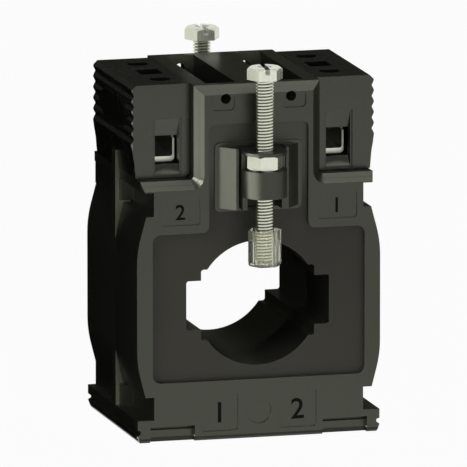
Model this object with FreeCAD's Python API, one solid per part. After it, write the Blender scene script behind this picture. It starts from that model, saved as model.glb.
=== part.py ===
"""Split-housing window current transformer: moulded case, ring core, clamp screws and covered terminals.

Millimetres, +Z up. The origin is at the middle of the base: X across, Y through the opening with the
front at -Y, Z = 0 at the underside.
"""

import FreeCAD, Part
import math
import os

V = FreeCAD.Vector

# Overall size of the body
body_width = 56.0
body_depth = 44.0
wall = 1.8
floor_thickness = 2.2
seam_offset = 2.3              # how far the seam lies in front of the middle
running_gap = 0.05             # radial play of a screw in its nut, plate or cap
cover_gap = 0.3                # play between a lift-off cover and what stands inside it
seat_gap = 0.1                 # play at the faces where the cover slides and seats
shallow = 0.4                  # depth of the shallow recesses
small_step = 0.1               # how far a recess stays clear of the chamfer above it

half_width = body_width / 2
half_depth = body_depth / 2
seam_y = -seam_offset

# Ring core and its winding, as large as the case leaves room for
ring_play = 0.4
ring_foot = 4.7                # height of the ring's lowest point
ring_head_gap = 0.5
ring_end_gap = 3.1
wire_layer = 0.8
tape_thickness = 0.4
end_ring_thickness = 0.6
winding_gap_angle = 14.0
lead_diameter = 1.2
lead_y = 3.0

ring_outer = half_width - wall - ring_play
chamber_half_width = ring_outer + ring_play
opening_z = ring_foot + ring_outer

# Opening for the primary conductor
opening_bore = 28.2
wide_bar = 32.9
wide_bar_height = 11.1
tall_bar = 26.1
tall_bar_height = 16.0
bar_corner = 0.6
liner_wall = 1.84

liner_radius = math.hypot(wide_bar / 2, wide_bar_height / 2) + liner_wall
ring_inner = liner_radius + ring_play

# Base flange with a groove along each side
base_inset = 0.1
base_height = 5.1
base_taper = 0.6
base_taper_height = 1.7
groove_bottom = 2.1
groove_top = 2.8
groove_depth = 0.7
groove_slope = 0.25
latch_inner = 14.75
latch_outer = 25.0
latch_height = 3.6
latch_depth = 1.7
latch_slot_height = 1.0
latch_slot_depth = 1.0
edge_chamfer = 0.5

base_half_width = half_width - base_inset

# Sides: a bulge over the ring, with a neck under it and a neck above it
bulge_below = 20.2
bulge_above = 20.7
bulge_straight = 12.9
bulge_foot_inset = 1.9
bulge_shoulder_inset = 2.1
bulge_radius = 25.0
front_neck_inset = 3.9
rear_neck_inset = 1.9
web_inset = 0.2
web_thickness = 3.0
tongue_thickness = 1.5
tongue_height = 4.2
stop_inset = 1.1               # blocks at the foot and the head of each side notch
stop_reach = 1.4
stop_height = 4.8

bulge_bottom = opening_z - bulge_below
bulge_top = opening_z + bulge_above
bulge_full_low = opening_z - bulge_straight
bulge_full_high = opening_z + bulge_straight
bulge_foot = half_width - bulge_foot_inset
bulge_shoulder = half_width - bulge_shoulder_inset
front_neck = half_width - front_neck_inset
rear_neck = half_width - rear_neck_inset
web_half_width = half_width - web_inset

# Deck that carries the terminals, and the block between them
deck_thickness = 2.0
ledge_height = 2.2
deck_inset = 1.2
deck_side_taper = 0.6
block_half_width = 14.5
block_height = 21.2
top_chamfer = 2.0
inner_corner = 1.0
pocket_inner = 4.3
pocket_outer = 11.2
pocket_floor_thickness = 1.7
pocket_wall = 4.0
seal_hole_x = 7.5
seal_hole_drop = 3.0
seal_hole = 2.3
seal_recess_inner = 5.5
seal_recess_outer = 10.9
seal_recess_height = 3.5
seal_recess_corner = 1.0

chamber_top = opening_z + ring_outer + ring_head_gap
deck_top = chamber_top + deck_thickness
ledge_bottom = deck_top - ledge_height
deck_half_width = half_width - deck_inset
body_height = deck_top + block_height
tongue_top = deck_top + tongue_height
pocket_floor = deck_top + pocket_floor_thickness
seal_hole_z = body_height - seal_hole_drop
seal_recess_top = body_height - top_chamfer - small_step

# Recessed field on the front and rear
field_depth = 1.0
field_inset = 3.6
field_below = 17.1
field_above = 16.5
field_corner = 1.8
tower_half_width = 11.4
tower_drop = 8.7
tower_corner = 1.5

field_half_width = half_width - field_inset
field_bottom = opening_z - field_below
field_shoulder = opening_z + field_above
tower_top = body_height - tower_drop
field_y = -half_depth + field_depth
inner_face_y = field_y + wall
ring_half_length = -inner_face_y - ring_end_gap
chamfer_start_y = -half_depth + top_chamfer

# Marked panels, recessed a little
mark_depth = 0.3
mark_corner = 0.7
upper_mark_inner = 13.5
upper_mark_outer = 22.6
upper_mark_drop = 9.9
upper_mark_height = 6.0
lower_mark_inner = 4.8
lower_mark_outer = 13.3
lower_mark_bottom = 2.0
lower_mark_top = 10.4
disc_diameter = 5.7
disc_z = 6.1

upper_mark_bottom = deck_top - upper_mark_drop
upper_mark_top = upper_mark_bottom + upper_mark_height

# Clamp screws with their nuts, carriers and insulating caps
clamp_standoff = 4.9           # from the case's face to the screw's axis
clamp_thread = 4.0
clamp_length = 41.35
clamp_head_gap = 2.0           # from the case's top to the underside of the head
clamp_head_height = 2.8
hex_across = 7.0
clamp_slot_width = 1.1
clamp_slot_depth = 1.4
crown_slope = 2.8              # how far the cone that rounds the head's corners flares at its foot
front_slot_angle = -5.0
nut_height = 3.4
end_chamfer_slope = 1.73       # run of the 30 degree chamfers on the nut's ends, per unit of height
nut_flat_margin = 0.1
cap_across = 6.8
cap_end_radius = 3.5
cap_height = 8.0
cap_floor = 0.5
cap_tip_gap = 0.15
window_half_width = 10.0
window_drop = 7.3              # from the deck's top down to the window's lower edge
window_height = 15.5
window_rim = 0.8
window_rim_height = 0.4
window_corner = 1.2
wedge_inner = 5.4
wedge_tip = 6.0
wedge_reach = 4.1
wedge_foot = 0.4
wedge_corner = 0.4
carrier_half_width = 5.0
carrier_wall = 1.05
carrier_foot_rise = 1.1
carrier_leg = 3.0
carrier_height = 10.3
nut_rise = 6.1                 # from the carrier's underside to the nut
slot_mouth = 1.0               # how far behind the screw's axis the nut slot is open to the sides

clamp_axis = half_depth + clamp_standoff
clamp_head_bottom = body_height + clamp_head_gap
clamp_head_top = clamp_head_bottom + clamp_head_height
clamp_tip = clamp_head_bottom - clamp_length
cap_bottom = clamp_tip - cap_tip_gap - cap_floor
cap_top = cap_bottom + cap_height
window_bottom = deck_top - window_drop
window_top = window_bottom + window_height
carrier_foot = window_bottom + carrier_foot_rise
carrier_bottom = carrier_foot + carrier_leg
carrier_top = carrier_bottom + carrier_height
nut_bottom = carrier_bottom + nut_rise

# Lift-off terminal covers
cover_setback = 5.0
cover_wall = 1.3
cover_end_wall = 3.6
cover_roof = 1.5
cover_foot_inset = 1.0
cover_top_chamfer = 1.1
ridge_count = 6
ridge_pitch = 2.44
ridge_height = 0.65
ridge_round = 0.5
flank_round = 7.3              # rounding of the bend below the grip ridges
grip_edge_chamfer = 0.3
pad_half_length = 7.5
pad_tip = 11.6
pad_rise = 2.8
pad_height = 6.1
pad_groove = 0.9

cover_half_depth = half_depth - cover_setback
cover_foot = half_width - cover_foot_inset
cover_shoulder_z = body_height - cover_top_chamfer - (ridge_count - 1) * ridge_pitch
pad_bottom = cover_shoulder_z + pad_rise
pad_top = pad_bottom + pad_height

# Terminals under the covers
terminal_inset = 8.45
terminal_plate = 1.2
terminal_sheet = 0.8
terminal_flange = 0.45
terminal_left_edge = 2.3
terminal_right_edge = 2.45
terminal_bend = 1.0
terminal_base_height = 3.1
flange_height = 5.3
screw_end_distance = 7.2       # from the cover's end to the screw's axis
screw_thread = 3.0
screw_head = 4.4
screw_head_height = 1.4
screw_head_drop = 3.9
screw_slot = 0.8
screw_slot_depth = 0.8
bridge_rise = 7.7
bridge_length = 4.6
collar_radius = 2.1
collar_height = 1.0
plate_side = 4.2
plate_thickness = 0.9
plate_drop = 1.25              # from the bridge's underside to the plate's underside
pin_diameter = 2.0
rivet_radius = 1.3
rivet_height = 0.35

terminal_x = half_width - terminal_inset
terminal_half_length = cover_half_depth - cover_end_wall - cover_gap
terminal_base_top = deck_top + terminal_base_height
flange_top = terminal_base_top + flange_height
bridge_bottom = terminal_base_top + bridge_rise
plate_bottom = bridge_bottom - plate_drop
screw_y = cover_half_depth - screw_end_distance
screw_head_bottom = body_height - screw_head_drop

# Wire entries and top holes of the covers, placed from the terminal
frame_inner = 3.05
frame_outer = 3.35
frame_rise = 0.5
frame_height = 13.1
entry_inner = 2.75
entry_outer = 2.65
entry_height = 6.3
entry_lip = 0.4
test_hole_x = 5.1
test_hole_y = 6.8
driver_hole = 4.8

beyond = 5.0                   # how far a cutting tool reaches past the surface that it cuts


def box_between(x0, x1, y0, y1, z0, z1):
    return Part.makeBox(x1 - x0, y1 - y0, z1 - z0, V(x0, y0, z0))


def cylinder_y(x, z, radius, y0, y1):
    return Part.makeCylinder(radius, y1 - y0, V(x, y0, z), V(0, 1, 0))


def cylinder_z(x, y, radius, z0, z1):
    return Part.makeCylinder(radius, z1 - z0, V(x, y, z0), V(0, 0, 1))


def outline_wire(points, to_space):
    """Closed wire through (a, b) or (a, b, corner radius) points; to_space turns a and b into a vector."""
    corners = []
    for index, point in enumerate(points):
        here = V(point[0], point[1], 0)
        if len(point) == 2:
            corners.append((here, None, here))
            continue
        before = points[index - 1]
        after = points[(index + 1) % len(points)]
        back = (V(before[0], before[1], 0) - here).normalize()
        ahead = (V(after[0], after[1], 0) - here).normalize()
        half_angle = back.getAngle(ahead) / 2
        reach = point[2] / math.tan(half_angle)
        centre = here + (back + ahead).normalize() * (point[2] / math.sin(half_angle))
        middle = centre + (here - centre).normalize() * point[2]
        corners.append((here + back * reach, middle, here + ahead * reach))
    edges = []
    for index, (start, middle, end) in enumerate(corners):
        if middle is not None:
            edges.append(Part.Arc(*[to_space(p.x, p.y) for p in (start, middle, end)]).toShape())
        following = corners[(index + 1) % len(corners)][0]
        if (following - end).Length > 1e-6:
            edges.append(Part.LineSegment(to_space(end.x, end.y),
                                          to_space(following.x, following.y)).toShape())
    return Part.Wire(edges)


def prism_y(points, y0, y1):
    """Outline in X and Z, drawn out along Y."""
    wire = outline_wire(points, lambda x, z: V(x, y0, z))
    return Part.Face(wire).extrude(V(0, y1 - y0, 0))


def prism_z(points, z0, z1):
    """Outline in X and Y, drawn up along Z."""
    wire = outline_wire(points, lambda x, y: V(x, y, z0))
    return Part.Face(wire).extrude(V(0, 0, z1 - z0))


def prism_x(points, x0, x1):
    """Outline in Y and Z, drawn out along X."""
    wire = outline_wire(points, lambda y, z: V(x0, y, z))
    return Part.Face(wire).extrude(V(x1 - x0, 0, 0))


def both_sides(right_half):
    """Whole outline from its right half, listed from the bottom up."""
    left_half = [(-point[0],) + tuple(point[1:]) for point in reversed(right_half)]
    return right_half + left_half


def rectangle(a0, a1, b0, b1, radius=0.0):
    corners = [(a0, b0), (a1, b0), (a1, b1), (a0, b1)]
    if radius:
        return [corner + (radius,) for corner in corners]
    return corners


def hexagon(x, y, across_flats, turn):
    """Corners of a hexagon in X and Y, with its first corner at the angle turn from +X."""
    corner_radius = across_flats / math.sqrt(3)
    angles = [math.radians(turn + 60 * k) for k in range(6)]
    return [(x + corner_radius * math.cos(a), y + corner_radius * math.sin(a)) for a in angles]


def mirrored_x(shape):
    return shape.mirror(V(0, 0, 0), V(1, 0, 0))


def mirrored_y(shape):
    return shape.mirror(V(0, 0, 0), V(0, 1, 0))


def joined(first, others):
    return first.fuse(others).removeSplitter()


def save(name, shape):
    shape.exportStep("parts/" + name + ".step")


def base_side():
    """Right side of the base flange, from the bottom up."""
    return [
        (base_half_width - base_taper, 0),
        (base_half_width, base_taper_height),
        (base_half_width - groove_depth, groove_bottom),
        (base_half_width - groove_depth, groove_top),
        (base_half_width, groove_top + groove_slope),
        (base_half_width, base_height),
    ]


def body_outline(neck):
    """Front outline of a case half below the deck."""
    bulge = [
        (bulge_foot, bulge_bottom),
        (half_width, bulge_full_low, bulge_radius),
        (half_width, bulge_full_high, bulge_radius),
        (bulge_shoulder, bulge_top),
    ]
    right = base_side() + [(neck, base_height)]
    if neck < bulge_foot:
        right.append((neck, bulge_bottom))
    right += bulge + [(neck, bulge_top), (neck, ledge_bottom)]
    return both_sides(right)


def top_outline(inset, side_inset, corner):
    """Deck and middle block, seen from the front, drawn in from the full size by inset."""
    deck = deck_top - inset
    side = deck_half_width - side_inset
    block = block_half_width - inset
    right = [
        (side, ledge_bottom),
        (side, deck),
        (block, deck, corner),
        (block, body_height - inset),
    ]
    return both_sides(right)


def top_part(seam):
    """Deck and middle block with the chamfer round their front edge."""
    back = outline_wire(top_outline(0, 0, inner_corner), lambda x, z: V(x, chamfer_start_y, z))
    front = outline_wire(top_outline(top_chamfer, deck_side_taper, inner_corner + top_chamfer),
                         lambda x, z: V(x, -half_depth, z))
    body = Part.Face(back).extrude(V(0, seam - chamfer_start_y, 0))
    return body.fuse(Part.makeLoft([front, back], True, True))


def opening_tool(y0, y1):
    """Round hole with a wide and a tall bar slot across it."""
    wide = prism_y(rectangle(-wide_bar / 2, wide_bar / 2, opening_z - wide_bar_height / 2,
                             opening_z + wide_bar_height / 2, bar_corner), y0, y1)
    tall = prism_y(rectangle(-tall_bar / 2, tall_bar / 2, opening_z - tall_bar_height / 2,
                             opening_z + tall_bar_height / 2, bar_corner), y0, y1)
    return cylinder_y(0, opening_z, opening_bore / 2, y0, y1).fuse([wide, tall])


def chamber(neck, seam):
    """Space inside a case half, as wide as the neck allows and wider round the ring."""
    narrow = neck - wall
    right = [
        (narrow, floor_thickness),
        (narrow, bulge_bottom + wall),
        (chamber_half_width, bulge_full_low + wall),
        (chamber_half_width, bulge_full_high - wall),
        (narrow, bulge_top - wall),
        (narrow, chamber_top),
    ]
    room = prism_y(both_sides(right), inner_face_y, seam + beyond)
    return room.cut(cylinder_y(0, opening_z, liner_radius, inner_face_y - beyond, seam + 2 * beyond))


def recessed_field():
    right = [
        (field_half_width, field_bottom, field_corner),
        (field_half_width, field_shoulder, field_corner),
        (tower_half_width, field_shoulder, tower_corner),
        (tower_half_width, tower_top, tower_corner),
    ]
    return prism_y(both_sides(right), -half_depth - beyond, field_y)


def mark_panels():
    """Shallow panels for the terminal and conductor marks, and a bare disc between the lower two."""
    panels = [cylinder_y(0, disc_z, disc_diameter / 2, -half_depth - beyond, -half_depth + mark_depth)]
    for side in (-1, 1):
        for inner, outer, low, high in (
                (upper_mark_inner, upper_mark_outer, upper_mark_bottom, upper_mark_top),
                (lower_mark_inner, lower_mark_outer, lower_mark_bottom, lower_mark_top)):
            x0, x1 = sorted((side * inner, side * outer))
            panels.append(prism_y(rectangle(x0, x1, low, high, mark_corner),
                                  -half_depth - beyond, -half_depth + mark_depth))
    return panels


def latch_notches():
    tools = []
    for side in (-1, 1):
        x0, x1 = sorted((side * latch_inner, side * latch_outer))
        tools.append(box_between(x0, x1, -half_depth - beyond, -half_depth + latch_depth,
                                 -beyond, latch_height))
        tools.append(box_between(x0, x1, -half_depth - beyond,
                                 -half_depth + latch_depth + latch_slot_depth,
                                 latch_height - latch_slot_height, latch_height))
    tools.append(prism_x([(-half_depth - beyond, -beyond), (-half_depth + edge_chamfer + beyond, -beyond),
                          (-half_depth - beyond, edge_chamfer + beyond)], -half_width, half_width))
    return tools


def top_pockets(seam):
    """Two pockets open at the top, each with a hole through the wall for a sealing wire."""
    tools = []
    for side in (-1, 1):
        x0, x1 = sorted((side * pocket_inner, side * pocket_outer))
        tools.append(box_between(x0, x1, -half_depth + pocket_wall, seam + beyond,
                                 pocket_floor, body_height + beyond))
        tools.append(cylinder_y(side * seal_hole_x, seal_hole_z, seal_hole / 2,
                                -half_depth - beyond, -half_depth + pocket_wall + beyond / 2))
        x0, x1 = sorted((side * seal_recess_inner, side * seal_recess_outer))
        recess = rectangle(x0, x1, seal_recess_top - seal_recess_height, seal_recess_top,
                           seal_recess_corner)
        tools.append(prism_y(recess, -half_depth - beyond, -half_depth + shallow))
    return tools


def clamp_window():
    """Low rim with two wedge-shaped guides, between which the nut carrier stands."""
    rim_face = field_y - window_rim_height
    rim = prism_y(rectangle(-window_half_width, window_half_width, window_bottom, window_top, window_corner),
                  rim_face, field_y)
    inner_half = window_half_width - window_rim
    inner_bottom = window_bottom + window_rim
    inner_top = window_top - window_rim
    rim = rim.cut(box_between(-inner_half, inner_half, rim_face - beyond, field_y,
                              inner_bottom, inner_top))
    pieces = [rim]
    for side in (-1, 1):
        guide = [
            (side * wedge_inner, field_y),
            (side * inner_half, field_y),
            (side * inner_half, field_y - wedge_foot),
            (side * wedge_tip, field_y - wedge_reach, wedge_corner),
            (side * wedge_inner, field_y - wedge_reach),
        ]
        pieces.append(prism_z(guide, inner_bottom, inner_top))
    return pieces


def case_half(seam, neck):
    """One half of the case, drawn as a front half that ends at the seam."""
    body = prism_y(body_outline(neck), -half_depth, seam)
    body = joined(body, [top_part(seam)])
    body = body.cut([chamber(neck, seam), opening_tool(-half_depth - beyond, seam + beyond),
                     recessed_field()] + mark_panels() + latch_notches() + top_pockets(seam))
    return joined(body, clamp_window())


def side_web():
    """Upright rib at the seam on each side, with a tongue that locks the terminal cover."""
    room = mirrored_y(chamber(rear_neck, -seam_y))
    pieces = []
    for side in (-1, 1):
        x0, x1 = sorted((side * (rear_neck - wall / 2), side * web_half_width))
        web = box_between(x0, x1, seam_y, seam_y + web_thickness, base_height, deck_top)
        pieces.append(web.cut(room))
        x0, x1 = sorted((side * (web_half_width - tongue_thickness), side * web_half_width))
        pieces.append(box_between(x0, x1, seam_y, seam_y + web_thickness, deck_top, tongue_top))
    return pieces


def notch_stops():
    """Small blocks in the side notches, one on the base flange and one under the deck's ledge."""
    stops = []
    for side in (-1, 1):
        x0, x1 = sorted((side * (front_neck - wall / 2), side * (half_width - stop_inset)))
        for low in (base_height, ledge_bottom - stop_height):
            stops.append(box_between(x0, x1, seam_y - stop_reach, seam_y, low, low + stop_height))
    return stops


def front_case():
    return joined(case_half(seam_y, front_neck), notch_stops())


def rear_case():
    half = mirrored_y(case_half(-seam_y, rear_neck))
    half = joined(half, side_web())
    return half.cut([cylinder_z(side * terminal_x, lead_y, lead_diameter / 2 + cover_gap,
                                chamber_top - beyond, deck_top + beyond) for side in (-1, 1)])


def annulus(inner, outer, y0, y1):
    return cylinder_y(0, opening_z, outer, y0, y1).cut(
        cylinder_y(0, opening_z, inner, y0 - beyond, y1 + beyond))


def winding_room():
    """Radii and half length of the space inside the winding."""
    inner = ring_inner + wire_layer
    outer = ring_outer - tape_thickness - wire_layer
    return inner, outer, ring_half_length - wire_layer


def ring_core():
    inner, outer, half_length = winding_room()
    end = half_length - end_ring_thickness
    return annulus(inner, outer, -end, end)


def core_end_ring(side):
    inner, outer, half_length = winding_room()
    y0, y1 = sorted((side * (half_length - end_ring_thickness), side * half_length))
    return annulus(inner, outer, y0, y1)


def secondary_winding():
    """Wire layer round the core, with a gap at the top between its start and its end."""
    inner, outer, half_length = winding_room()
    layer_outer = ring_outer - tape_thickness
    layer = annulus(ring_inner, layer_outer, -ring_half_length, ring_half_length)
    layer = layer.cut(annulus(inner, outer, -half_length, half_length))
    half_gap = math.radians(winding_gap_angle / 2)
    reach = ring_outer + beyond
    edge_x = reach * math.tan(half_gap)
    wedge = prism_y([(0, opening_z), (edge_x, opening_z + reach), (-edge_x, opening_z + reach)],
                    -ring_half_length - beyond, ring_half_length + beyond)
    return layer.cut(wedge)


def winding_tape():
    return annulus(ring_outer - tape_thickness, ring_outer, -ring_half_length, ring_half_length)


def secondary_lead(side):
    """Straight lead from the winding up through the deck into the terminal."""
    near = terminal_x - lead_diameter / 2
    bottom = opening_z + math.sqrt(ring_outer ** 2 - near ** 2) + running_gap
    return cylinder_z(side * terminal_x, lead_y, lead_diameter / 2, bottom,
                      terminal_base_top + terminal_plate)


def nut_carrier():
    """Front carrier: a round-nosed block with a nut slot, standing on two legs."""
    nose = cylinder_z(0, -clamp_axis, carrier_half_width, carrier_bottom, carrier_top)
    block = box_between(-carrier_half_width, carrier_half_width, -clamp_axis, field_y,
                        carrier_bottom, carrier_top)
    legs = []
    for side in (-1, 1):
        x0, x1 = sorted((side * (carrier_half_width - carrier_wall), side * carrier_half_width))
        legs.append(box_between(x0, x1, -clamp_axis, field_y, carrier_foot, carrier_bottom))
    carrier = joined(nose, [block] + legs)
    slot_half = hex_across / math.sqrt(3) + running_gap
    slot_back = -clamp_axis + hex_across / 2 + running_gap
    slot_front = -clamp_axis - carrier_half_width - beyond
    slot_top = nut_bottom + nut_height + 2 * running_gap
    slot = box_between(-slot_half, slot_half, slot_front, slot_back, nut_bottom, slot_top)
    mouth = box_between(-carrier_half_width - beyond, carrier_half_width + beyond, slot_front,
                        -clamp_axis + slot_mouth, nut_bottom, slot_top)
    hole = cylinder_z(0, -clamp_axis, clamp_thread / 2 + cover_gap, carrier_foot - beyond,
                      carrier_top + beyond)
    return carrier.cut([slot, mouth, hole])


def clamp_nut():
    nut = prism_z(hexagon(0, -clamp_axis, hex_across, 0), nut_bottom, nut_bottom + nut_height)
    face_radius = hex_across / 2 - nut_flat_margin
    wide_radius = face_radius + end_chamfer_slope * nut_height
    for small, large in ((face_radius, wide_radius), (wide_radius, face_radius)):
        nut = nut.common(Part.makeCone(small, large, nut_height, V(0, -clamp_axis, nut_bottom), V(0, 0, 1)))
    return nut.cut(cylinder_z(0, -clamp_axis, clamp_thread / 2 + running_gap, nut_bottom - beyond,
                              nut_bottom + nut_height + beyond))


def clamp_screw(slot_angle):
    """Slotted hexagon-head screw at the front, its slot along the opening."""
    head = prism_z(hexagon(0, -clamp_axis, hex_across, slot_angle), clamp_head_bottom, clamp_head_top)
    corner = hex_across / math.sqrt(3)
    crown = Part.makeCone(corner + crown_slope, hex_across / 2 - shallow / 2,
                          clamp_head_top - clamp_head_bottom, V(0, -clamp_axis, clamp_head_bottom),
                          V(0, 0, 1))
    head = head.common(crown)
    slot = box_between(-clamp_slot_width / 2, clamp_slot_width / 2, -clamp_axis - corner - beyond,
                       -clamp_axis + corner + beyond, clamp_head_top - clamp_slot_depth,
                       clamp_head_top + beyond)
    slot.rotate(V(0, -clamp_axis, 0), V(0, 0, 1), slot_angle)
    shank = cylinder_z(0, -clamp_axis, clamp_thread / 2, clamp_tip, clamp_head_bottom)
    return joined(shank, [head.cut(slot)])


def clamp_cap():
    """Clear insulating cap with a blind hole for the tip of the clamp screw."""
    cap = prism_z([corner + (shallow,) for corner in hexagon(0, -clamp_axis, cap_across, 0)],
                  cap_bottom, cap_top)
    cap = cap.common(Part.makeCone(cap_end_radius, cap_end_radius + cap_height, cap_height,
                                   V(0, -clamp_axis, cap_bottom), V(0, 0, 1)))
    return cap.cut(cylinder_z(0, -clamp_axis, clamp_thread / 2 + running_gap,
                              cap_bottom + cap_floor, cap_top + beyond))


def terminal_base(side):
    """Insulating block on the deck that carries the terminal, clear of the cover round it."""
    inner = block_half_width + cover_wall + 2 * cover_gap
    outer = deck_half_width - 2 * cover_gap - cover_wall
    x0, x1 = sorted((side * inner, side * outer))
    base = box_between(x0, x1, -terminal_half_length, terminal_half_length, deck_top,
                       terminal_base_top)
    return base.cut(cylinder_z(side * terminal_x, lead_y, lead_diameter / 2 + running_gap,
                               deck_top - beyond, terminal_base_top + beyond))


def terminal_bar(side):
    """Bent sheet: a plate for the wires, one upright flange, and a threaded bridge over each end."""
    x = side * terminal_x
    left = x - terminal_left_edge
    right = x + terminal_right_edge
    top = terminal_base_top + terminal_plate
    inside = right - terminal_flange
    section = [
        (left, terminal_base_top),
        (right, terminal_base_top, terminal_bend),
        (right, flange_top),
        (inside, flange_top),
        (inside, top, terminal_bend - terminal_flange),
        (left, top),
    ]
    bar = prism_y(section, -terminal_half_length, terminal_half_length)
    bridges = []
    cuts = [cylinder_z(x, lead_y, lead_diameter / 2 + running_gap, terminal_base_top - beyond, top + beyond)]
    bridge_top = bridge_bottom + terminal_sheet
    for end in (-1, 1):
        y = end * screw_y
        bridge = [
            (inside, flange_top),
            (right, flange_top),
            (right, bridge_top, terminal_bend),
            (left, bridge_top),
            (left, bridge_bottom),
            (inside, bridge_bottom),
        ]
        bridges.append(prism_y(bridge, y - bridge_length / 2, y + bridge_length / 2))
        bridges.append(cylinder_z(x, y, collar_radius, bridge_top, bridge_top + collar_height))
        cuts.append(cylinder_z(x, y, screw_thread / 2 + running_gap, bridge_bottom - terminal_sheet,
                               bridge_top + collar_height + beyond))
    return joined(bar, bridges).cut(cuts)


def pressure_plate(side, end):
    """Square plate under the tip of a terminal screw, clear of the upright flange beside it."""
    x = side * terminal_x
    y = end * screw_y
    right = x + terminal_right_edge - terminal_flange - cover_gap / 2
    left = x - terminal_left_edge + cover_gap / 2
    plate = box_between(left, right, y - plate_side / 2, y + plate_side / 2, plate_bottom,
                        plate_bottom + plate_thickness)
    return plate.cut(cylinder_z(x, y, pin_diameter / 2 + running_gap, plate_bottom - beyond,
                                plate_bottom + plate_thickness + beyond))


def terminal_screw(side, end):
    """Slotted cheese-head screw whose riveted tip carries the pressure plate."""
    x = side * terminal_x
    y = end * screw_y
    head_top = screw_head_bottom + screw_head_height
    shoulder = plate_bottom + plate_thickness + running_gap
    rivet_top = plate_bottom - running_gap
    head = cylinder_z(x, y, screw_head / 2, screw_head_bottom, head_top)
    head = head.cut(box_between(x - screw_head, x + screw_head, y - screw_slot / 2, y + screw_slot / 2,
                                head_top - screw_slot_depth, head_top + beyond))
    return joined(head, [
        cylinder_z(x, y, screw_thread / 2, shoulder, screw_head_bottom),
        cylinder_z(x, y, pin_diameter / 2, rivet_top, shoulder),
        cylinder_z(x, y, rivet_radius, rivet_top - rivet_height, rivet_top),
    ])


def cover_outline():
    """Front outline of the right cover, with the grip ridges on its outer side."""
    inner = block_half_width + seat_gap
    bottom = deck_top + seat_gap
    points = [
        (inner, bottom + inner_corner),
        (inner + inner_corner, bottom),
        (cover_foot, bottom),
        (cover_foot + ridge_height / 2, (deck_top + cover_shoulder_z) / 2, flank_round),
    ]
    for ridge in range(ridge_count):
        z = cover_shoulder_z + ridge * ridge_pitch
        if ridge:
            points.append((half_width - ridge_height, z - ridge_pitch / 2, ridge_round))
        points.append((half_width, z, ridge_round))
    points.append((half_width - cover_top_chamfer, body_height))
    points.append((inner, body_height))
    return points


def pad_outline(margin):
    """Smooth pad between the grip ridges, pointed at both ends, in Y and Z."""
    middle = (pad_bottom + pad_top) / 2
    corner_y = pad_half_length + margin
    tip_y = pad_tip + margin
    return [
        (-corner_y, pad_bottom), (corner_y, pad_bottom), (tip_y, middle),
        (corner_y, pad_top), (-corner_y, pad_top), (-tip_y, middle),
    ]


def wire_funnel():
    """Tool for the wire entry at the front: a shallow frame, then a funnel to the terminal."""
    frame_y = -cover_half_depth + shallow
    left = terminal_x - frame_inner
    right = terminal_x + frame_outer
    low = deck_top + frame_rise
    high = low + frame_height
    frame = box_between(left, right, -cover_half_depth - beyond, frame_y, low, high)
    end_y = -cover_half_depth + cover_end_wall
    mouth = outline_wire(rectangle(left + entry_lip, right - entry_lip, low + entry_lip, high - entry_lip),
                         lambda x, z: V(x, frame_y, z))
    throat = outline_wire(rectangle(terminal_x - entry_inner, terminal_x + entry_outer,
                                    terminal_base_top, terminal_base_top + entry_height),
                          lambda x, z: V(x, end_y, z))
    return frame.fuse(Part.makeLoft([mouth, throat], True, True))


def terminal_cover():
    """Right cover: a hollow cap with wire entries at both ends and holes over the screws."""
    shell = prism_y(cover_outline(), -cover_half_depth, cover_half_depth)
    valley = half_width - ridge_height
    shell = shell.cut(prism_x(pad_outline(pad_groove), valley, half_width + beyond))
    shell = shell.fuse(prism_x(pad_outline(0), valley - ridge_height, half_width))
    for end in (-1, 1):
        reach = beyond + grip_edge_chamfer
        shell = shell.cut(prism_z([
            (half_width + beyond, end * (cover_half_depth - reach)),
            (half_width + beyond, end * (cover_half_depth + beyond)),
            (half_width - reach, end * (cover_half_depth + beyond)),
        ], deck_top, body_height + beyond))
    inner = block_half_width + cover_wall + cover_gap
    outer = deck_half_width - cover_gap - cover_wall
    room = box_between(inner, outer, -cover_half_depth + cover_end_wall, cover_half_depth - cover_end_wall,
                       deck_top - beyond, body_height - cover_roof)
    tongue_slot = box_between(outer - shallow, half_width + beyond, seam_y - cover_gap,
                              seam_y + web_thickness + cover_gap, deck_top - beyond,
                              tongue_top + cover_gap)
    funnel = wire_funnel()
    top_holes = [
        box_between(terminal_x - test_hole_x / 2, terminal_x + test_hole_x / 2, -test_hole_y / 2,
                    test_hole_y / 2, body_height - cover_roof - beyond / 2, body_height + beyond),
    ]
    for end in (-1, 1):
        top_holes.append(cylinder_z(terminal_x, end * screw_y, driver_hole / 2,
                                    body_height - cover_roof - beyond / 2, body_height + beyond))
    return shell.cut([room, tongue_slot, funnel, mirrored_y(funnel)] + top_holes)


os.makedirs("parts", exist_ok=True)

save("front_case", front_case())
save("rear_case", rear_case())
save("ring_core", ring_core())
save("secondary_winding", secondary_winding())
save("winding_tape", winding_tape())

right_cover = terminal_cover()
save("terminal_cover_right", right_cover)
save("terminal_cover_left", mirrored_x(right_cover))

for place, side in (("front", -1), ("rear", 1)):
    save("core_end_ring_" + place, core_end_ring(side))
    turned = mirrored_y if side > 0 else (lambda shape: shape)
    save("nut_carrier_" + place, turned(nut_carrier()))
    save("clamp_nut_" + place, turned(clamp_nut()))
    save("clamp_cap_" + place, turned(clamp_cap()))
    save("clamp_screw_" + place, turned(clamp_screw(front_slot_angle if side < 0 else 0)))

for hand, side in (("left", -1), ("right", 1)):
    save("secondary_lead_" + hand, secondary_lead(side))
    save("terminal_base_" + hand, terminal_base(side))
    save("terminal_bar_" + hand, terminal_bar(side))
    for place, end in (("front", -1), ("rear", 1)):
        save("pressure_plate_" + hand + "_" + place, pressure_plate(side, end))
        save("terminal_screw_" + hand + "_" + place, terminal_screw(side, end))
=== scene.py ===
"""Window current transformer: split case, two clamp screws, two terminals under ridged covers."""

import math

import bmesh
import bpy
from mathutils import Matrix, Vector


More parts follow.
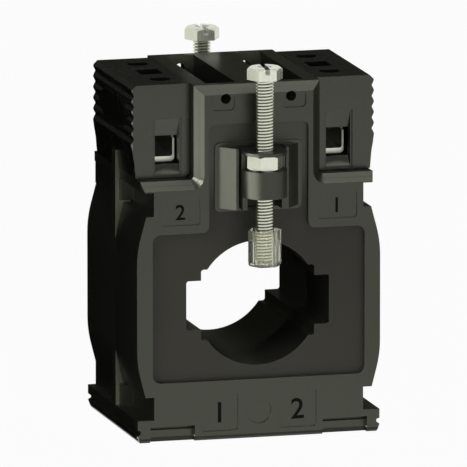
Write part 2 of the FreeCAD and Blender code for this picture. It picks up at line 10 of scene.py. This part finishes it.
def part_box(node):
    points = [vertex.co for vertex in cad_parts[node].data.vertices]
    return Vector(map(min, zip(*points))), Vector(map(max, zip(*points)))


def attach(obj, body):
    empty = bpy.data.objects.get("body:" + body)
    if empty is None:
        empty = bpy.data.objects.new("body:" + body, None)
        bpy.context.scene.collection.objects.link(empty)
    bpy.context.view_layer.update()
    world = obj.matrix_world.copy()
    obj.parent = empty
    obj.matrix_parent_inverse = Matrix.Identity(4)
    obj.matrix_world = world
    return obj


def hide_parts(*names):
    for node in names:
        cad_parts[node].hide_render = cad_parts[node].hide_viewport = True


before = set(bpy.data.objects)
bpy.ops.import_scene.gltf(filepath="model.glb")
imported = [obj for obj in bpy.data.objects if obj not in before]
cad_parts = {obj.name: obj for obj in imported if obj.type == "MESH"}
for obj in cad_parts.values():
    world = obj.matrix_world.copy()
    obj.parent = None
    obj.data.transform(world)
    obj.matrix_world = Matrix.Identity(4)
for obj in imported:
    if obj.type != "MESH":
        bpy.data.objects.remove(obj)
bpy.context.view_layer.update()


# Case halves
# Two glass-filled polyamide mouldings that meet at a seam just in front of the middle. The outer
# skin is fine satin from the tool; the recessed field round the opening has a rougher, slightly
# browner spark finish.

def joined(node):
    """A copy of a CAD node's loose triangles, joined into one skin."""
    same_point = 0.000002
    shape = bmesh.new()
    shape.from_mesh(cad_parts[node].data)
    bmesh.ops.remove_doubles(shape, verts=shape.verts, dist=same_point)
    return shape


def shade_by_angle(shape, crease):
    """Shades curved faces smooth and keeps every edge sharp that turns by the crease or more."""
    for face in shape.faces:
        face.smooth = True
    for edge in shape.edges:
        edge.smooth = len(edge.link_faces) == 2 and edge.calc_face_angle() < math.radians(crease)
    return shape


def finish_piece(shape, name, node, body, material):
    """Makes a bmesh a piece of the object that rides on a body and stands for a CAD node."""
    mesh = bpy.data.meshes.new(name)
    shape.to_mesh(mesh)
    shape.free()
    mesh.materials.append(material)
    piece = bpy.data.objects.new(name, mesh)
    bpy.context.scene.collection.objects.link(piece)
    even = piece.modifiers.new("even_shading", "WEIGHTED_NORMAL")
    even.keep_sharp = True
    even.weight = 80
    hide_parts(node)
    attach(piece, body)
    return piece


def feed(tree, node, sockets):
    """Gives each named socket of a node its value, or wires another node's output to it."""
    for socket, value in sockets.items():
        if isinstance(value, bpy.types.NodeSocket):
            tree.links.new(value, node.inputs[socket])
        else:
            node.inputs[socket].default_value = value


def add(tree, kind, sockets=None, **settings):
    """Adds a shader node with its own settings and its fed sockets."""
    node = tree.nodes.new("ShaderNode" + kind)
    for setting, value in settings.items():
        setattr(node, setting, value)
    feed(tree, node, sockets or {})
    return node


def new_finish(name):
    """A new material, its node tree, its shader and the object's own coordinates for patterns."""
    material = bpy.data.materials.new(name)
    material.use_nodes = True
    tree = material.node_tree
    return material, tree, tree.nodes["Principled BSDF"], add(tree, "TexCoord").outputs["Object"]


def broken_edge(tree, radius):
    """The small rounding that a tool leaves on every edge, worked out where it is shaded."""
    return add(tree, "Bevel", {"Radius": radius}, samples=6).outputs["Normal"]


def moulded_plastic(name, colour, roughness, field_colour=None, grain=0.16):
    """Dark plastic with a fine grain, faint flow clouds and, where asked, the browner field."""
    material, tree, shader, place = new_finish(name)
    clouds = add(tree, "TexNoise", {"Vector": place, "Scale": 260.0, "Detail": 4.0}).outputs["Fac"]
    tint = add(tree, "MapRange", {"Value": clouds, "From Min": 0.3, "From Max": 0.7,
                                  "To Min": 0.9, "To Max": 1.1})
    skin = colour
    least_rough = roughness - 0.05
    if field_colour:
        # the field lies 1 mm behind the outer faces, so its distance from the middle plane picks
        # it out, and higher up it blends into the satin skin
        field_plane, plane_slack = 0.021, 0.00006
        blend_from, blend_to = 0.050, 0.064
        axes = add(tree, "SeparateXYZ", {0: place})
        depth = add(tree, "Math", {0: axes.outputs["Y"]}, operation="ABSOLUTE")
        layer = add(tree, "Math", {0: depth.outputs[0], 1: field_plane, 2: plane_slack},
                    operation="COMPARE")
        fade = add(tree, "MapRange", {"Value": axes.outputs["Z"], "From Min": blend_from,
                                      "From Max": blend_to, "To Min": 1.0, "To Max": 0.25},
                   interpolation_type="SMOOTHSTEP")
        field = add(tree, "Math", {0: layer.outputs[0], 1: fade.outputs["Result"]},
                    operation="MULTIPLY").outputs[0]
        skin = add(tree, "Mix", {"Factor": field, "A": (*colour, 1.0), "B": (*field_colour, 1.0)},
                   data_type="RGBA").outputs["Result"]
        least_rough = add(tree, "MapRange", {"Value": field, "To Min": roughness,
                                             "To Max": roughness + 0.30}).outputs["Result"]
    shade = add(tree, "VectorMath", {0: skin, "Scale": tint.outputs["Result"]}, operation="SCALE")
    smear = add(tree, "Math", {0: clouds, 1: 0.1, 2: least_rough}, operation="MULTIPLY_ADD")
    spark = add(tree, "TexNoise", {"Vector": place, "Scale": 5200.0, "Detail": 2.0})
    bump = add(tree, "Bump", {"Strength": grain, "Distance": 0.00002,
                              "Height": spark.outputs["Fac"], "Normal": broken_edge(tree, 0.0001)})
    feed(tree, shader, {"Base Color": shade.outputs[0], "Roughness": smear.outputs[0],
                        "Normal": bump.outputs[0], "Specular IOR Level": 0.3, "IOR": 1.5})
    return material


case_plastic = moulded_plastic("case_plastic", (0.038, 0.041, 0.030), 0.26,
                               field_colour=(0.006, 0.005, 0.0035))
case_crease = 35.0
case_pieces = []
for half in ("front", "rear"):
    node = half + "_case"
    case_pieces.append(finish_piece(shade_by_angle(joined(node), case_crease),
                                    "moulded_" + half + "_half", node, "root",
                                    case_plastic))


# Terminal numbers
# Plain figures stand in the four shallow panels on the front, as on any terminal block. They are
# raised a few hundredths of a millimetre by the tool and printed darker than the case.

def printed_black():
    """Matt black ink, a little worn."""
    material, tree, shader, place = new_finish("printed_black")
    wear = add(tree, "TexNoise", {"Vector": place, "Scale": 1800.0})
    rough = add(tree, "MapRange", {"Value": wear.outputs["Fac"], "To Min": 0.6, "To Max": 0.8})
    feed(tree, shader, {"Base Color": (0.010, 0.010, 0.008, 1.0), "Specular IOR Level": 0.1,
                        "Roughness": rough.outputs["Result"]})
    return material


figure_ink = printed_black()
case_front = -0.022
panel_depth = 0.0003
relief = 0.00006
upper_height, upper_x, upper_z = 0.0034, 0.0180, 0.0502
lower_height, lower_x, lower_z = 0.0046, 0.0090, 0.0039
for name, text, height, x, z in (
        ("figure_upper_left", "2", upper_height, -upper_x, upper_z),
        ("figure_upper_right", "1", upper_height, upper_x, upper_z),
        ("figure_lower_left", "1", lower_height, -lower_x, lower_z),
        ("figure_lower_right", "2", lower_height, lower_x, lower_z)):
    curve = bpy.data.curves.new(name + "_outline", "FONT")
    curve.body = text
    curve.align_x = "CENTER"
    curve.size = height / 0.7  # a figure stands 0.7 of the letter size high
    curve.extrude = relief
    curve.offset = height * 0.012
    curve.resolution_u = 6
    lettering = bpy.data.objects.new(name + "_outline", curve)
    bpy.context.scene.collection.objects.link(lettering)
    bpy.context.view_layer.update()
    depsgraph = bpy.context.evaluated_depsgraph_get()
    mesh = bpy.data.meshes.new_from_object(lettering.evaluated_get(depsgraph))
    bpy.data.objects.remove(lettering)
    mesh.transform(Matrix.Translation((x, case_front + panel_depth, z))
                   @ Matrix.Rotation(math.pi / 2, 4, "X"))
    mesh.name = name
    mesh.materials.clear()
    mesh.materials.append(figure_ink)
    figure = bpy.data.objects.new(name, mesh)
    bpy.context.scene.collection.objects.link(figure)
    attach(figure, "root")


# Nut carriers
# Each clamp screw's nut sits in a round-nosed block that slides between two wedge guides on the
# case. It is moulded from the same plastic in a polished tool, with a finer grain, so that it
# slides.

carrier_plastic = moulded_plastic("carrier_plastic", (0.034, 0.037, 0.027), 0.38, grain=0.08)
carrier_crease = 40.0
carrier_pieces = []
for place in ("front", "rear"):
    node = "nut_carrier_" + place
    carrier_pieces.append(finish_piece(shade_by_angle(joined(node), carrier_crease),
                                       "moulded_carrier_" + place, node, "root",
                                       carrier_plastic))


# Terminal covers
# Two lift-off caps with grip ridges on the outer side, funnels for the wires at both ends and
# holes over the terminal screws. They are moulded from the case's plastic with the same satin
# skin.

cover_plastic = moulded_plastic("cover_plastic", (0.036, 0.039, 0.029), 0.26)
cover_crease = 15.0
end_wall = 0.0036
funnel_depth = 0.0015
throat_bottom, throat_top = 0.002, 0.011
on_the_wall = 0.00001
cover_pieces = []
for hand in ("left", "right"):
    node = "terminal_cover_" + hand
    low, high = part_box(node)
    cover = joined(node)
    # the throats of the funnels come nearer to the cover's ends, for slopes as flat as in the
    # photograph
    for vert in cover.verts:
        at_wall = abs(abs(vert.co.y) - (high.y - end_wall)) < on_the_wall
        if at_wall and low.z + throat_bottom < vert.co.z < low.z + throat_top:
            vert.co.y = math.copysign(high.y - funnel_depth, vert.co.y)
    cover_pieces.append(finish_piece(shade_by_angle(cover, cover_crease),
                                     "moulded_cover_" + hand, node, node,
                                     cover_plastic))
plastic_pieces = case_pieces + carrier_pieces + cover_pieces


# Clamp screws
# M4 x 40 machine screws with slotted hexagon heads, rolled thread to the tip, nickel-plated.
# They hang in their nuts, and their coned tips press on the bar or cable.

def plated_metal(name, colour, roughness, streak, stretch, shade_thread_roots=False):
    """Bright plating with fine streaks along the stretch, and painted shade darkening the roots of
    a thread.
    """
    material, tree, shader, place = new_finish(name)
    squeeze = add(tree, "Mapping", {"Vector": place, "Scale": stretch})
    streaks = add(tree, "TexNoise", {"Vector": squeeze.outputs[0], "Scale": 1500.0,
                                     "Detail": 3.0}).outputs["Fac"]
    gloss = add(tree, "MapRange", {"Value": streaks, "To Min": roughness * 0.75,
                                   "To Max": roughness * 1.3})
    finish = add(tree, "Mix", {"Factor": streaks, "A": (*[c * 0.86 for c in colour], 1.0),
                               "B": (*colour, 1.0)}, data_type="RGBA").outputs["Result"]
    if shade_thread_roots:
        # painted shade: the colour darkens towards the thread's roots, by distance from the
        # screw's axis, for the shade that falls in the grooves
        # both screws stand on the middle plane at the same distance from the opening's middle
        axis_distance, root_radius, crest_radius = 0.0269, 0.00158, 0.0018
        axes = add(tree, "SeparateXYZ", {0: place})
        either_end = add(tree, "Math", {0: axes.outputs["Y"]}, operation="ABSOLUTE")
        from_axis = add(tree, "Math", {0: either_end.outputs[0], 1: axis_distance},
                        operation="SUBTRACT")
        across = add(tree, "CombineXYZ", {"X": axes.outputs["X"], "Y": from_axis.outputs[0]})
        radius = add(tree, "VectorMath", {0: across.outputs[0]}, operation="LENGTH")
        painted_root_shade = add(tree, "MapRange", {"Value": radius.outputs["Value"], "From Min": root_radius,
                                      "From Max": crest_radius, "To Min": 0.35, "To Max": 1.0})
        finish = add(tree, "VectorMath", {0: finish, "Scale": painted_root_shade.outputs["Result"]},
                     operation="SCALE").outputs[0]
    bump = add(tree, "Bump", {"Strength": streak, "Distance": 0.00001, "Height": streaks,
                              "Normal": broken_edge(tree, 0.00008)})
    feed(tree, shader, {"Base Color": finish, "Metallic": 0.85, "Normal": bump.outputs[0],
                        "Roughness": gloss.outputs["Result"]})
    return material


nickel_look = dict(colour=(0.80, 0.82, 0.70), roughness=0.22, streak=0.25,
                   stretch=(1.0, 1.0, 0.25))
screw_plate = plated_metal("screw_plate", shade_thread_roots=True, **nickel_look)
thread_major, thread_pitch = 0.004, 0.0007
thread_minor = thread_major - 1.2268 * thread_pitch
tip_cone = 0.0009
head_height = 0.0031
rod_overlap = 0.0001
turned_crease = 22.0


def verts_in(items):
    """The vertices in what an operator gives back."""
    return [item for item in items if isinstance(item, bmesh.types.BMVert)]


def edges_in(items):
    """The edges in what an operator gives back."""
    return [item for item in items if isinstance(item, bmesh.types.BMEdge)]


def cut_square(shape, level, outward):
    """Cuts a shape off at a level, drops what lies outward of it and closes the cut."""
    cut = bmesh.ops.bisect_plane(shape, geom=shape.verts[:] + shape.edges[:] + shape.faces[:],
                                 plane_co=(0, 0, level), plane_no=(0, 0, outward),
                                 clear_outer=True)
    bmesh.ops.triangle_fill(shape, edges=edges_in(cut["geom_cut"]), use_beauty=True)


def threaded_rod(axis_x, axis_y, bottom, top):
    """One pitch of the thread's V, wound up the rod, cut square at both ends, coned at the tip."""
    root, crest = thread_minor / 2, thread_major / 2
    steps_per_turn = 24
    turns = math.ceil((top - bottom) / thread_pitch) + 2
    thread = bmesh.new()
    profile = [(root, 0.0), (root, 0.06), (crest, 0.32), (crest, 0.76), (root, 1.0)]
    points = [thread.verts.new((axis_x + radius, axis_y, bottom + (share - 1.0) * thread_pitch))
              for radius, share in profile]
    edges = [thread.edges.new(pair) for pair in zip(points, points[1:])]
    bmesh.ops.spin(thread, geom=points + edges, cent=(axis_x, axis_y, 0), axis=(0, 0, 1),
                   dvec=(0, 0, thread_pitch / steps_per_turn), angle=2 * math.pi * turns,
                   steps=steps_per_turn * turns, use_merge=False, use_duplicate=False)
    bmesh.ops.remove_doubles(thread, verts=thread.verts, dist=thread_pitch * 0.002)
    cut_square(thread, bottom, -1)
    cut_square(thread, top, 1)
    for vert in thread.verts:
        allowed = crest - tip_cone + (vert.co.z - bottom)
        out = Vector((vert.co.x - axis_x, vert.co.y - axis_y))
        if out.length > allowed:
            vert.co.x = axis_x + out.x * allowed / out.length
            vert.co.y = axis_y + out.y * allowed / out.length
    bmesh.ops.recalc_face_normals(thread, faces=thread.faces)
    return thread


bright_pieces = []
for place in ("front", "rear"):
    node = "clamp_screw_" + place
    low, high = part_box(node)
    middle = (low + high) / 2
    neck = high.z - head_height
    screw = joined(node)
    cut_square(screw, neck, -1)
    rod = threaded_rod(middle.x, middle.y, low.z, neck + rod_overlap)
    rod_mesh = bpy.data.meshes.new("rod")
    rod.to_mesh(rod_mesh)
    rod.free()
    screw.from_mesh(rod_mesh)
    bpy.data.meshes.remove(rod_mesh)
    bmesh.ops.recalc_face_normals(screw, faces=screw.faces)
    bright_pieces.append(finish_piece(shade_by_angle(screw, turned_crease),
                                      "threaded_clamp_screw_" + place, node, node,
                                      screw_plate))


# Clamp nuts
# Plain M4 nuts, pressed and nickel-plated, that slide into their carriers from the front.

nickel_plate = plated_metal("nickel_plate", **nickel_look)
nut_crease = 20.0
for place in ("front", "rear"):
    node = "clamp_nut_" + place
    bright_pieces.append(finish_piece(shade_by_angle(joined(node), nut_crease),
                                      "pressed_nut_" + place, node, "root",
                                      nickel_plate))


# Insulating caps
# Clear moulded hexagonal sleeves pushed over the tips of the clamp screws, so that the metal
# doesn't touch the bar. The screw's thread shows through them.

def clear_plastic():
    """Clear plastic with a faint haze and a warm tint."""
    material, tree, shader, place = new_finish("clear_plastic")
    haze = add(tree, "TexNoise", {"Vector": place, "Scale": 700.0}).outputs["Fac"]
    frost = add(tree, "MapRange", {"Value": haze, "To Min": 0.06, "To Max": 0.16})
    tint = add(tree, "Mix", {"Factor": haze, "A": (0.95, 0.96, 0.82, 1.0),
                             "B": (0.99, 0.99, 0.90, 1.0)}, data_type="RGBA")
    feed(tree, shader, {"Base Color": tint.outputs["Result"], "Transmission Weight": 0.87,
                        "Roughness": frost.outputs["Result"], "IOR": 1.33})
    return material


cap_plastic = clear_plastic()
cap_flats = 0.0068
corner_turn = math.pi / 6  # brings a corner of the hexagon to the side
corner_break = 0.0004
foot_height, foot_share = 0.0004, 0.92
cap_bore_radius, cap_floor = 0.00206, 0.00045
for place in ("front", "rear"):
    node = "clamp_cap_" + place
    low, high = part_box(node)
    middle = (low + high) / 2
    to_axis = Matrix.Translation((-middle.x, -middle.y, 0))
    cap = bmesh.new()
    outline = bmesh.ops.create_circle(cap, cap_ends=False, segments=6,
                                      radius=cap_flats / math.sqrt(3))["verts"]
    bmesh.ops.rotate(cap, verts=outline, cent=(0, 0, 0),
                     matrix=Matrix.Rotation(corner_turn, 3, "Z"))
    bmesh.ops.bevel(cap, geom=outline, offset=corner_break, offset_type="OFFSET",
                    affect="VERTICES", segments=2, profile=0.5, material=-1)
    bmesh.ops.translate(cap, verts=cap.verts, vec=(middle.x, middle.y, low.z))
    bmesh.ops.scale(cap, vec=(foot_share, foot_share, 1.0), verts=cap.verts, space=to_axis)
    foot_edges = cap.edges[:]
    bmesh.ops.edgeloop_fill(cap, edges=foot_edges)
    foot = bmesh.ops.extrude_edge_only(cap, edges=foot_edges)["geom"]
    bmesh.ops.scale(cap, vec=(1 / foot_share, 1 / foot_share, 1.0), verts=verts_in(foot),
                    space=to_axis)
    bmesh.ops.translate(cap, verts=verts_in(foot), vec=(0, 0, foot_height))
    wall = bmesh.ops.extrude_edge_only(cap, edges=edges_in(foot))["geom"]
    for vert in verts_in(wall):
        vert.co.z = high.z
    mouth = bmesh.ops.create_circle(cap, cap_ends=False, segments=48, radius=cap_bore_radius,
                                    matrix=Matrix.Translation((middle.x, middle.y, high.z)))
    mouth_verts = set(mouth["verts"])
    mouth_edges = [edge for edge in cap.edges if mouth_verts.issuperset(edge.verts)]
    bmesh.ops.bridge_loops(cap, edges=edges_in(wall) + mouth_edges)
    bore = bmesh.ops.extrude_edge_only(cap, edges=mouth_edges)["geom"]
    for vert in verts_in(bore):
        vert.co.z = low.z + cap_floor
    bmesh.ops.edgeloop_fill(cap, edges=edges_in(bore))
    bmesh.ops.recalc_face_normals(cap, faces=cap.faces)
    bright_pieces.append(finish_piece(shade_by_angle(cap, turned_crease),
                                      "clear_sleeve_" + place, node, node,
                                      cap_plastic))


# Terminals
# Bent and tin-plated brass sheet: a plate for the wires, one upright flange and a threaded
# bridge over each end. They are riveted to the insulating base under them.

tin_plate = plated_metal("tin_plate", (0.84, 0.85, 0.73), 0.32, 0.35, (1.0, 0.2, 1.0))
sheet_crease = 35.0
for hand in ("left", "right"):
    node = "terminal_bar_" + hand
    finish_piece(shade_by_angle(joined(node), sheet_crease), "bent_terminal_" + hand, node,
                 "root", tin_plate)


# Terminal screws and pressure plates
# M3 cheese-head screws in the terminal's bridges. Each has a square plate riveted loosely to its
# tip, which presses the wire flat.

small_crease = 25.0
screw_pieces = []
for hand in ("left", "right"):
    for place in ("front", "rear"):
        terminal = hand + "_" + place
        for node, name, material, slot_name in (
                ("pressure_plate_" + terminal, "riveted_plate_" + terminal,
                 tin_plate, "tinned_sheet"),
                ("terminal_screw_" + terminal, "cheese_head_screw_" + terminal,
                 nickel_plate, "nickel_steel")):
            screw_pieces.append(finish_piece(shade_by_angle(joined(node), small_crease),
                                             name, node, node, material))


# Terminal bases
# Insulating blocks that carry the terminals, moulded in the case's plastic without a satin skin.

def dress(names, material):
    """Gives CAD nodes their finish."""
    for name in names:
        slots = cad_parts[name].data.materials
        slots.clear()
        slots.append(material)


dress(["terminal_base_left", "terminal_base_right"],
      moulded_plastic("base_plastic", (0.006, 0.006, 0.005), 0.55))


# Ring core with its end rings
# Grain-oriented silicon-steel strip wound into a ring, with a pressed-board ring on each end that
# keeps the wire off its edges.

ring_centre = (0.0, 0.0, -0.0305)  # what moves the opening's axis to the origin


def wound_strip():
    """Bright strip steel whose turns show as fine rings."""
    material, tree, shader, place = new_finish("wound_strip")
    centre = add(tree, "Mapping", {"Vector": place, "Location": ring_centre})
    flat = add(tree, "VectorMath", {0: centre.outputs[0], 1: (1.0, 0.0, 1.0)},
               operation="MULTIPLY")
    turns = add(tree, "TexWave", {"Vector": flat.outputs[0], "Scale": 1000.0, "Distortion": 0.4},
                wave_type="RINGS", rings_direction="SPHERICAL")
    tone = add(tree, "Mix", {"Factor": turns.outputs["Fac"], "A": (0.22, 0.22, 0.23, 1.0),
                             "B": (0.45, 0.46, 0.47, 1.0)}, data_type="RGBA")
    feed(tree, shader, {"Base Color": tone.outputs["Result"], "Metallic": 1.0,
                        "Roughness": 0.38})
    return material


def pressed_board(name, colour):
    """Fibrous insulating board or tape."""
    material, tree, shader, place = new_finish(name)
    fibres = add(tree, "TexNoise", {"Vector": place, "Scale": 900.0, "Detail": 5.0}).outputs["Fac"]
    tone = add(tree, "Mix", {"Factor": fibres, "A": (*[c * 0.75 for c in colour], 1.0),
                             "B": (*colour, 1.0)}, data_type="RGBA")
    bump = add(tree, "Bump", {"Strength": 0.3, "Distance": 0.00003, "Height": fibres})
    feed(tree, shader, {"Base Color": tone.outputs["Result"], "Roughness": 0.6,
                        "Normal": bump.outputs[0]})
    return material


dress(["ring_core"], wound_strip())
dress(["core_end_ring_front", "core_end_ring_rear"],
      pressed_board("end_board", (0.50, 0.38, 0.20)))


# Secondary winding, its tape and its leads
# Enamelled copper wire wound once round the ring in an even layer, bound with polyester tape,
# with a lead up to each terminal.

def enamelled_wire(name, along_ring):
    """Copper under reddish enamel; the ribs of the turns run across the ring."""
    material, tree, shader, place = new_finish(name)
    if along_ring:
        centre = add(tree, "Mapping", {"Vector": place, "Location": ring_centre})
        axes = add(tree, "SeparateXYZ", {0: centre.outputs[0]})
        turn = add(tree, "Math", {0: axes.outputs["Z"], 1: axes.outputs["X"]},
                   operation="ARCTAN2")
        around = add(tree, "CombineXYZ", {"X": turn.outputs[0]})
        ribs = add(tree, "TexWave", {"Vector": around.outputs[0], "Scale": 9.0,
                                     "Distortion": 0.0}, bands_direction="X")
    else:
        ribs = add(tree, "TexWave", {"Vector": place, "Scale": 120.0, "Distortion": 0.0},
                   bands_direction="Z")
    tone = add(tree, "Mix", {"Factor": ribs.outputs["Fac"], "A": (0.28, 0.08, 0.03, 1.0),
                             "B": (0.62, 0.27, 0.12, 1.0)}, data_type="RGBA")
    bump = add(tree, "Bump", {"Strength": 0.6, "Distance": 0.0002,
                              "Height": ribs.outputs["Fac"]})
    feed(tree, shader, {"Base Color": tone.outputs["Result"], "Metallic": 0.85,
                        "Roughness": 0.3, "Coat Weight": 0.6, "Normal": bump.outputs[0]})
    return material


dress(["secondary_winding"], enamelled_wire("enamelled_turns", True))
dress(["secondary_lead_left", "secondary_lead_right"], enamelled_wire("enamelled_lead", False))
dress(["winding_tape"], pressed_board("binding_tape", (0.62, 0.52, 0.20)))


# Studio
# A pale table on a white ground, with soft lamps in front and one at the back. White cards stand
# where only the bright metal and the clear caps mirror them, and soft panels lay a sheen on
# chosen pieces.

def only_for(light, name, pieces):
    """Lets a light or a glowing card light only the given pieces."""
    group = bpy.data.collections.new(name)
    for piece in pieces:
        group.objects.link(piece)
    light.light_linking.receiver_collection = group


def flat_square(name, half_width):
    """The mesh of a level square round the origin."""
    square = bmesh.new()
    bmesh.ops.create_grid(square, x_segments=1, y_segments=1, size=half_width)
    mesh = bpy.data.meshes.new(name)
    square.to_mesh(mesh)
    square.free()
    return mesh


def stage_piece(name, mesh, material):
    """Puts a mesh in the scene as part of the stage."""
    mesh.materials.append(material)
    piece = bpy.data.objects.new(name, mesh)
    bpy.context.scene.collection.objects.link(piece)
    return piece


def bare_material(name):
    """A new material with nothing in its node tree yet, and that tree."""
    material = bpy.data.materials.new(name)
    material.use_nodes = True
    material.node_tree.nodes.clear()
    return material, material.node_tree


def white_card():
    """A plain white glow."""
    material, tree = bare_material("white_card")
    glow = add(tree, "Emission", {"Color": (1.0, 1.0, 0.97, 1.0), "Strength": 0.9})
    add(tree, "OutputMaterial", {"Surface": glow.outputs[0]})
    return material


card_glow = white_card()
for name, centre, across, up, facing in (
        ("flag_behind", (0.0, 0.9, 0.75), 2.6, 2.2, (0, -1, -0.2)),
        ("flag_right", (0.7, 0.35, 0.3), 1.3, 1.2, (-1, -0.3, 0)),
        ("flag_left", (-0.4, 0.5, 0.5), 1.0, 1.0, (1, 0, 0)),
        ("flag_under_back", (0.0, 0.5, 0.0004), 2.4, 1.04, (0, 0, 1)),
        ("flag_under_right", (0.54, 0.0, 0.0008), 0.98, 0.3, (0, 0, 1)),
        ("flag_under_left", (-0.53, -0.05, 0.0006), 1.0, 0.4, (0, 0, 1))):
    mesh = flat_square(name, 0.5)
    turn = Vector(facing).to_track_quat("Z", "Y").to_matrix().to_4x4()
    mesh.transform(Matrix.Translation(centre) @ turn @ Matrix.Diagonal((across, up, 1.0, 1.0)))
    card = stage_piece(name, mesh, card_glow)
    card.visible_camera = False
    card.visible_diffuse = False
    card.visible_transmission = False
    card.visible_shadow = False
    card.visible_volume_scatter = False
    only_for(card, "seen_" + name, bright_pieces)


def looked_at(tree):
    """1 where a surface is seen, also in gloss or through clear plastic, and 0 where it lights."""
    path = add(tree, "LightPath").outputs
    eye_or_gloss = add(tree, "Math", {0: path["Is Camera Ray"], 1: path["Is Glossy Ray"]},
                       operation="MAXIMUM")
    return add(tree, "Math", {0: eye_or_gloss.outputs[0], 1: path["Is Transmission Ray"]},
               operation="MAXIMUM").outputs[0]


def table_white():
    """White where it is looked at, and a plain grey that still takes the object's shadow."""
    material, tree = bare_material("table_white")
    grey = add(tree, "BsdfDiffuse", {"Color": (0.14, 0.14, 0.14, 1.0)})
    glow = add(tree, "Emission", {"Color": (0.96, 0.96, 0.96, 1.0), "Strength": looked_at(tree)})
    both = add(tree, "AddShader", {0: grey.outputs[0], 1: glow.outputs[0]})
    add(tree, "OutputMaterial", {"Surface": both.outputs[0]})
    return material


stage_piece("table_top", flat_square("table_top", 3.0), table_white())

world = bpy.data.worlds.new("white_ground")
bpy.context.scene.world = world
world.use_nodes = True
world_tree = world.node_tree
world_tree.nodes.clear()
level = add(world_tree, "MapRange", {"Value": looked_at(world_tree), "To Min": 0.05,
                                     "To Max": 1.0})
ground = add(world_tree, "Background", {"Strength": level.outputs["Result"]})
add(world_tree, "OutputWorld", {"Surface": ground.outputs[0]})


def lamp(name, where, size, watts, colour):
    """A square lamp turned towards the object's middle."""
    light = bpy.data.lights.new(name, "AREA")
    light.shape = "SQUARE"
    light.size = size
    light.energy = watts
    light.color = colour
    holder = bpy.data.objects.new(name, light)
    bpy.context.scene.collection.objects.link(holder)
    holder.location = where
    aim = Vector((0, 0, 0.04)) - Vector(where)
    holder.rotation_euler = aim.to_track_quat("-Z", "Y").to_euler()
    return holder


def soft_lamp(name, where, size, watts, colour, pieces=None):
    """A lamp without a sheen, for the given pieces or for all of them."""
    light = lamp(name, where, size, watts, colour)
    light.visible_glossy = False
    if pieces:
        only_for(light, "lit_by_" + name, pieces)


def gloss_lamp(name, where, towards, width, height, radiance, pieces):
    """A soft panel that shows only as a sheen on the given pieces."""
    panel = lamp(name, where, width, radiance * math.pi * width * height, (0.98, 1.0, 0.82))
    panel.data.shape = "RECTANGLE"
    panel.data.size_y = height
    panel.rotation_euler = Vector(towards).to_track_quat("-Z", "Y").to_euler()
    panel.visible_diffuse = False
    only_for(panel, "lit_by_" + name, pieces)


key_colour = (0.98, 1.0, 0.88)
soft_lamp("key", (-0.02, -1.05, 0.03), 0.3, 3.4, key_colour)
soft_lamp("key_rear_half", (-0.03, -1.05, 0.08), 0.2, 14.0, key_colour, case_pieces[1:])
soft_lamp("key_metals", (-0.02, -1.05, 0.03), 0.3, 4.6, key_colour, bright_pieces)
# reaches only the sides turned away from the photograph's view
soft_lamp("rear_fill", (0.9, 0.55, 0.3), 0.3, 5.0, (1.0, 1.0, 1.0), plastic_pieces)

gloss_lamp("strip_left", (-0.16, -0.066, 0.03), (1, 0.25, 0.1), 0.12, 0.07, 8.0,
           case_pieces + cover_pieces)
gloss_lamp("strip_carriers", (-0.16, -0.03, 0.05), (1, 0.1, 0), 0.28, 0.1, 10.0, carrier_pieces)
gloss_lamp("strip_ridges", (-0.22, 0.9, 0.26), (0.22, -0.9, -0.18), 0.2, 0.24, 0.14,
           cover_pieces)
gloss_lamp("strip_tops", (0.25, 0.9, 0.26), (-0.25, -0.9, -0.18), 0.3, 0.2, 0.04, cover_pieces)
gloss_lamp("strip_bore", (0.24, 0.88, 0.17), (-0.25, -0.85, -0.15), 0.3, 0.1, 0.11, case_pieces)
gloss_lamp("front_sheen", (0.1, -0.32, 0.001), (0, 0, 1), 0.5, 0.6, 1.6, plastic_pieces)
gloss_lamp("strip_screws", (0.0, 0.6, 0.6), (0, -1, -0.9), 1.0, 0.6, 1.2, screw_pieces)
gloss_lamp("strip_corner", (-0.5, -0.2, 0.36), (0.85, 0.29, -0.5), 0.2, 0.3, 34.0, case_pieces)
gloss_lamp("strip_above", (0.18, -0.2, 0.75), (-0.1, 0.1, -1), 0.5, 0.5, 3.2, plastic_pieces)


# Camera
# A long lens, so that the object shows nearly as a parallel projection, turned to the
# photograph's view.

azimuth, elevation = math.radians(-15.13), math.radians(10.73)
back = Vector((math.sin(azimuth) * math.cos(elevation), -math.cos(azimuth) * math.cos(elevation),
               math.sin(elevation)))
lens = bpy.data.cameras.new("camera")
lens.type = "PERSP"
lens.lens = 1200.0
lens.sensor_width = 36.0
lens.clip_start = 0.1
lens.clip_end = 20.0
frame_width = 0.10445
distance = frame_width * lens.lens / lens.sensor_width
aim = Vector((-0.00005, -0.0005, 0.04235))
camera = bpy.data.objects.new("camera", lens)
bpy.context.scene.collection.objects.link(camera)
camera.location = aim + back * distance
camera.rotation_euler = (-back).to_track_quat("-Z", "Y").to_euler()
bpy.context.scene.camera = camera
bpy.context.scene.view_settings.view_transform = "Standard"
